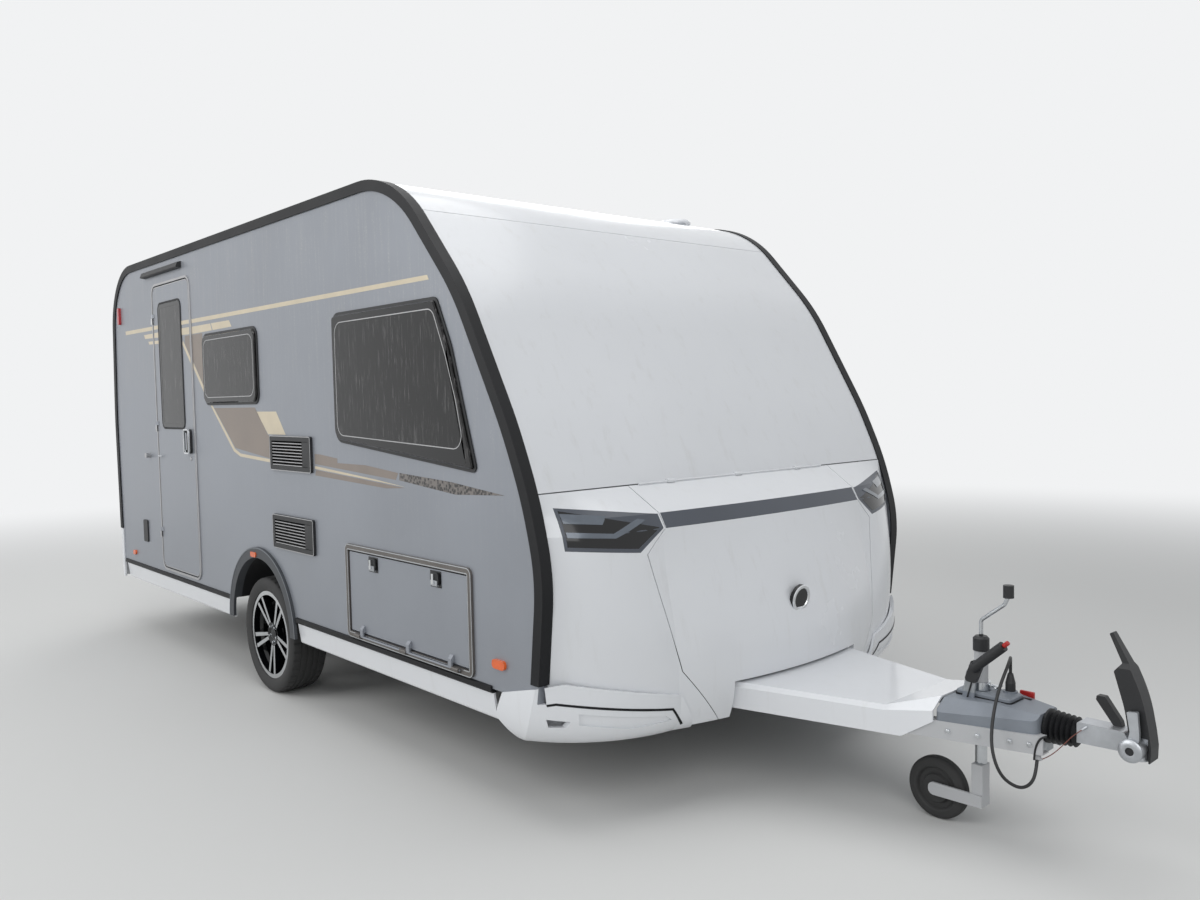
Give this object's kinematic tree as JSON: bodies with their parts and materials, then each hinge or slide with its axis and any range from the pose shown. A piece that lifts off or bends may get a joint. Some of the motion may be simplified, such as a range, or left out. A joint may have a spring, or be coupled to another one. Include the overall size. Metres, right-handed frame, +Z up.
{
  "type": "travel caravan",
  "caption": "Towed touring caravan with a moulded nose locker, side entrance door, storage flaps, alloy wheels, covered drawbar, stabiliser coupling and jockey wheel.",
  "frame": {"origin": "on the ground under the middle of the overall length and width", "axes": "+X towards the coupling, +Y to the caravan's left, +Z up"},
  "size_m": [6.642, 2.3455, 2.608],
  "materials": {
    "side_skin": "satin",
    "white_skin": "satin",
    "black_trim": "satin",
    "white_moulding": "satin",
    "grey_moulding": "matte",
    "dark_strip": "satin",
    "window_tint": "glossy",
    "lamp_clear": "glossy",
    "lamp_red": "glossy",
    "lamp_orange": "glossy",
    "frame_alloy": "satin",
    "galvanised": "matte",
    "coupling_metal": "satin",
    "black_rubber": "matte",
    "tyre_rubber": "matte",
    "wheel_alloy": "satin",
    "cabinet_board": "satin",
    "floor_board": "matte",
    "bedding": "matte",
    "clear_dome": "glossy"
  },
  "bodies": {
    "caravan_body": {"floor_panel": "floor_board", "wheel_boxes": "black_trim", "side_wall_right": "side_skin", "side_wall_left": "side_skin", "roof_panel": "white_skin", "roof_bend": "white_skin", "front_panel": "white_skin", "rear_panel": "white_skin", "edge_rails": "black_trim", "nose_shell": "white_moulding", "front_lamps": "lamp_clear", "locker_box": "cabinet_board", "front_bumpers": "white_moulding", "rear_bumper": "white_moulding", "tail_lamps": "lamp_red", "marker_lamps": "lamp_orange", "awning_lamp": "frame_alloy", "window_frames": "black_trim", "window_panes": "window_tint", "fridge_vents": "black_trim", "wheel_arches": "grey_moulding", "side_skirts": "side_skin", "opening_frames": "frame_alloy", "wall_fittings": "grey_moulding", "roof_fittings": "white_moulding", "chassis_frame": "galvanised", "drawbar_beams": "galvanised", "torsion_axle": "galvanised", "drawbar_cover": "white_moulding", "overrun_housing": "grey_moulding", "bellows": "black_rubber", "coupling_head": "coupling_metal", "stabiliser_handle": "black_trim", "coupling_levers": "black_trim", "jockey_tube": "galvanised", "jockey_crank": "black_trim", "handbrake_lever": "black_trim", "furniture": "cabinet_board", "mattress": "bedding", "connection_cable": "black_rubber", "cable_plug": "black_rubber", "breakaway_cable": "lamp_red"},
    "entrance_door": {"entrance_door": "side_skin", "entrance_door_pane": "window_tint"},
    "gas_door": {"gas_door": "white_moulding", "gas_door_trim": "dark_strip"},
    "storage_flap": {"storage_flap": "side_skin"},
    "toilet_flap": {"toilet_flap": "side_skin"},
    "rooflight_lid": {"rooflight_lid": "clear_dome"},
    "steady_front_left": {"steady_front_left": "galvanised"},
    "steady_front_right": {"steady_front_right": "galvanised"},
    "steady_rear_left": {"steady_rear_left": "galvanised"},
    "steady_rear_right": {"steady_rear_right": "galvanised"},
    "wheel_left": {"wheel_left_rim": "wheel_alloy", "wheel_left_tyre": "tyre_rubber"},
    "wheel_right": {"wheel_right_rim": "wheel_alloy", "wheel_right_tyre": "tyre_rubber"},
    "jockey_leg": {"jockey_leg": "galvanised"},
    "jockey_fork": {"jockey_fork": "galvanised"},
    "jockey_wheel": {"jockey_wheel": "black_rubber"}
  },
  "joints": [
    {"name": "entrance_door_hinge", "type": "hinge", "parent": "caravan_body", "child": "entrance_door", "pos_m": [-2.3735, -1.156, 1.44], "axis": [0, 0, -1], "range_deg": [0, 165]},
    {"name": "gas_door_hinge", "type": "hinge", "parent": "caravan_body", "child": "gas_door", "pos_m": [1.634, 0, 1.2365], "axis": [0, -1, 0], "range_deg": [0, 75]},
    {"name": "storage_flap_hinge", "type": "hinge", "parent": "caravan_body", "child": "storage_flap", "pos_m": [0.735, -1.16, 0.509], "axis": [1, 0, 0], "range_deg": [0, 150]},
    {"name": "toilet_flap_hinge", "type": "hinge", "parent": "caravan_body", "child": "toilet_flap", "pos_m": [-2.871, 1.16, 0.719], "axis": [-1, 0, 0], "range_deg": [0, 150]},
    {"name": "rooflight_hinge", "type": "hinge", "parent": "caravan_body", "child": "rooflight_lid", "pos_m": [-1.715, 0, 2.586], "axis": [0, -1, 0], "range_deg": [0, 50]},
    {"name": "steady_front_left_swing", "type": "hinge", "parent": "caravan_body", "child": "steady_front_left", "pos_m": [0.769, 0.86, 0.428], "axis": [0, 1, 0], "range_deg": [0, 70]},
    {"name": "steady_front_right_swing", "type": "hinge", "parent": "caravan_body", "child": "steady_front_right", "pos_m": [0.769, -0.86, 0.428], "axis": [0, 1, 0], "range_deg": [0, 70]},
    {"name": "steady_rear_left_swing", "type": "hinge", "parent": "caravan_body", "child": "steady_rear_left", "pos_m": [-2.651, 0.86, 0.428], "axis": [0, -1, 0], "range_deg": [0, 70]},
    {"name": "steady_rear_right_swing", "type": "hinge", "parent": "caravan_body", "child": "steady_rear_right", "pos_m": [-2.651, -0.86, 0.428], "axis": [0, -1, 0], "range_deg": [0, 70]},
    {"name": "wheel_left_spin", "type": "hinge", "parent": "caravan_body", "child": "wheel_left", "pos_m": [-0.791, 1.0195, 0.318], "axis": [0, 1, 0], "continuous": true},
    {"name": "wheel_right_spin", "type": "hinge", "parent": "caravan_body", "child": "wheel_right", "pos_m": [-0.791, -1.0195, 0.318], "axis": [0, 1, 0], "continuous": true},
    {"name": "jockey_height", "type": "slide", "parent": "caravan_body", "child": "jockey_leg", "axis": [0, 0, 1], "range_m": [0, 0.095]},
    {"name": "jockey_swivel", "type": "hinge", "parent": "jockey_leg", "child": "jockey_fork", "pos_m": [2.749, 0, 0.24], "axis": [0, 0, 1], "continuous": true},
    {"name": "jockey_wheel_spin", "type": "hinge", "parent": "jockey_fork", "child": "jockey_wheel", "pos_m": [2.584, 0, 0.115], "axis": [0, 1, 0], "continuous": true}
  ]
}
